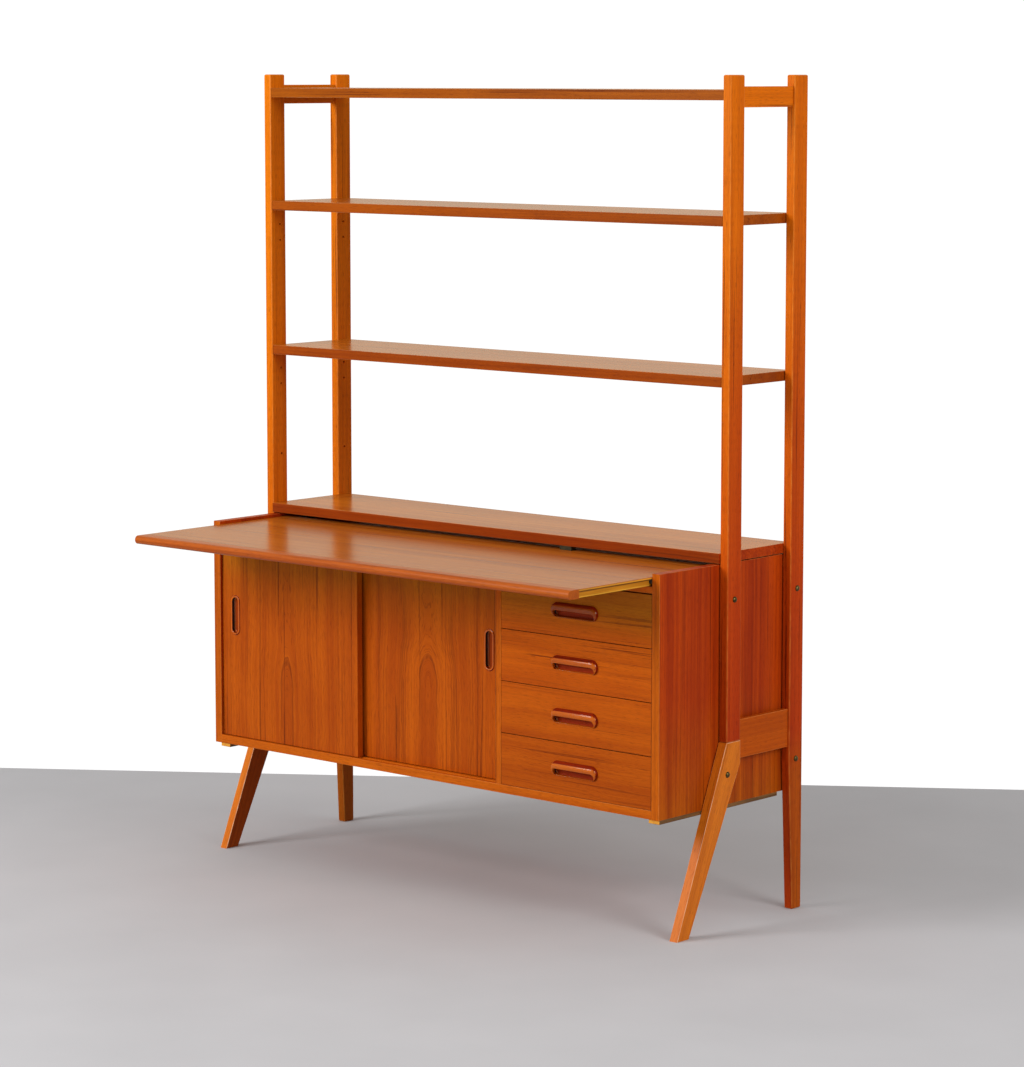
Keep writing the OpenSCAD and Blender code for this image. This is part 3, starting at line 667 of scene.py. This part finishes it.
def bolt_places():
    """The middles of the bolts' caps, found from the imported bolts, and the side that each looks to."""
    shape = solid_of("frame_bolts")
    places, left = [], set(shape.verts)
    while left:
        island, edge = set(), [left.pop()]
        while edge:
            vertex = edge.pop()
            island.add(vertex)
            for link in vertex.link_edges:
                other = link.other_vert(vertex)
                if other in left:
                    left.discard(other)
                    edge.append(other)
        low = Vector([min(v.co[i] for v in island) for i in range(3)])
        high = Vector([max(v.co[i] for v in island) for i in range(3)])
        side = 1 if (low + high).x > 0 else -1
        tip = high.x if side > 0 else low.x
        place = Vector((tip - side * BOLT["Cap Height"], (low.y + high.y) / 2, (low.z + high.z) / 2))
        places.append((place, side))
    shape.free()
    return sorted(places, key=lambda found: tuple(found[0]))


places = bolt_places()
points = bpy.data.meshes.new("bolt_points")
points.from_pydata([place for place, _ in places], [], [])
turns = [0 if side > 0 else math.pi for _, side in places]
points.attributes.new("turn", "FLOAT", "POINT").data.foreach_set("value", turns)
tree, sockets = bolt_tree()
grown("frame_bolt_caps", points, tree, {sockets["Finish"]: old_bronze}, "frame_bolts")


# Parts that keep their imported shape

def coat(finish, *nodes):
    for node in nodes:
        mesh = frame["nodes"][node].data
        mesh.materials.clear()
        mesh.materials.append(finish)


coat(back_ply, "cabinet_back")
coat(old_bronze, "shelf_pins")
coat(steel, "threaded_inserts", "spacer_washers")
coat(birch, "shelf_dowels", "drawer_runners")
coat(black_runner, "desk_runners")
coat(olive_pad, "desk_guide_pad")
coat(desk_strip, "desk_left_strip", "desk_right_strip")
for i in range(1, 5):
    coat(birch, f"drawer_{i}_sides")
    coat(drawer_ply, f"drawer_{i}_back", f"drawer_{i}_bottom")


# Studio

def put_floor():
    """A pale floor whose far edge lies level behind the bookcase."""
    corners = [(-7.59, -4.02, 0), (1.7, -17.1, 0), (15.5, -7.2, 0), (6.26, 5.82, 0)]
    mesh = bpy.data.meshes.new("floor")
    mesh.from_pydata(corners, [], [(0, 1, 2, 3)])
    f = Finish("pale_floor", Specular_IOR_Level=0.0)
    x, y, z = f.place()
    cloud = f.noise(x * 3, y * 3, z, 3.0)
    f.give(Base_Color=f.mix(cloud, (0.50, 0.497, 0.512), (0.57, 0.567, 0.584)), Roughness=0.8)
    mesh.materials.append(f.material)
    floor = bpy.data.objects.new("floor", mesh)
    bpy.context.scene.collection.objects.link(floor)


def put_light(name, place, target, size, watts):
    lamp = bpy.data.lights.new(name, "AREA")
    lamp.size, lamp.energy = size, watts
    lamp_object = bpy.data.objects.new(name, lamp)
    lamp_object.location = place
    lamp_object.rotation_euler = (Vector(target) - Vector(place)).to_track_quat("-Z", "Y").to_euler()
    bpy.context.scene.collection.objects.link(lamp_object)


def put_sky():
    """Dim for the light it gives, white behind the bookcase, and warm in the varnish."""
    world = bpy.data.worlds.new("studio")
    bpy.context.scene.world = world
    world.use_nodes = True
    nodes, links = world.node_tree.nodes, world.node_tree.links
    path = nodes.new("ShaderNodeLightPath")
    last = nodes["Background"]
    last.inputs["Color"].default_value = (1, 0.985, 0.96, 1)
    where, apart = nodes.new("ShaderNodeTexCoord"), nodes.new("ShaderNodeSeparateXYZ")
    height = nodes.new("ShaderNodeMapRange")
    level, zenith, dim, bright = 0.0, 1.0, 0.20, 0.75
    for socket, value in zip(height.inputs[1:5], (level, zenith, dim, bright)):
        socket.default_value = value
    links.new(where.outputs["Generated"], apart.inputs[0])
    links.new(apart.outputs["Z"], height.inputs["Value"])
    links.new(height.outputs["Result"], last.inputs["Strength"])
    for ray, colour, strength in (("Is Glossy Ray", (0.97, 0.87, 0.66, 1), 0.84),
                                  ("Is Camera Ray", (1, 1, 1, 1), 1.05)):
        other, choose = nodes.new("ShaderNodeBackground"), nodes.new("ShaderNodeMixShader")
        other.inputs["Color"].default_value = colour
        other.inputs["Strength"].default_value = strength
        links.new(path.outputs[ray], choose.inputs[0])
        links.new(last.outputs[0], choose.inputs[1])
        links.new(other.outputs[0], choose.inputs[2])
        last = choose
    links.new(last.outputs[0], nodes["World Output"].inputs["Surface"])


def put_camera():
    """A long lens on the front and right side, looking slightly down."""
    look_down, turn_right = 6.441, 41.548
    lens = bpy.data.cameras.new("camera")
    lens.lens, lens.sensor_width, lens.shift_y = 118.94, 36, -0.06
    lens.clip_start, lens.clip_end = 0.1, 100
    camera = bpy.data.objects.new("camera", lens)
    camera.location = (4.7692, -5.2065, 1.6561)
    camera.rotation_euler = (math.radians(90 - look_down), 0, math.radians(turn_right))
    bpy.context.scene.collection.objects.link(camera)
    bpy.context.scene.camera = camera


put_floor()
put_light("key", (-1.9, -4.4, 2.8), target=(0, 0, 0.9), size=2.2, watts=180)
put_light("side", (4.9, -0.5, 2.7), target=(0, 0.1, 1.0), size=2.0, watts=90)
put_sky()
put_camera()
bpy.context.scene.view_settings.view_transform = "Standard"
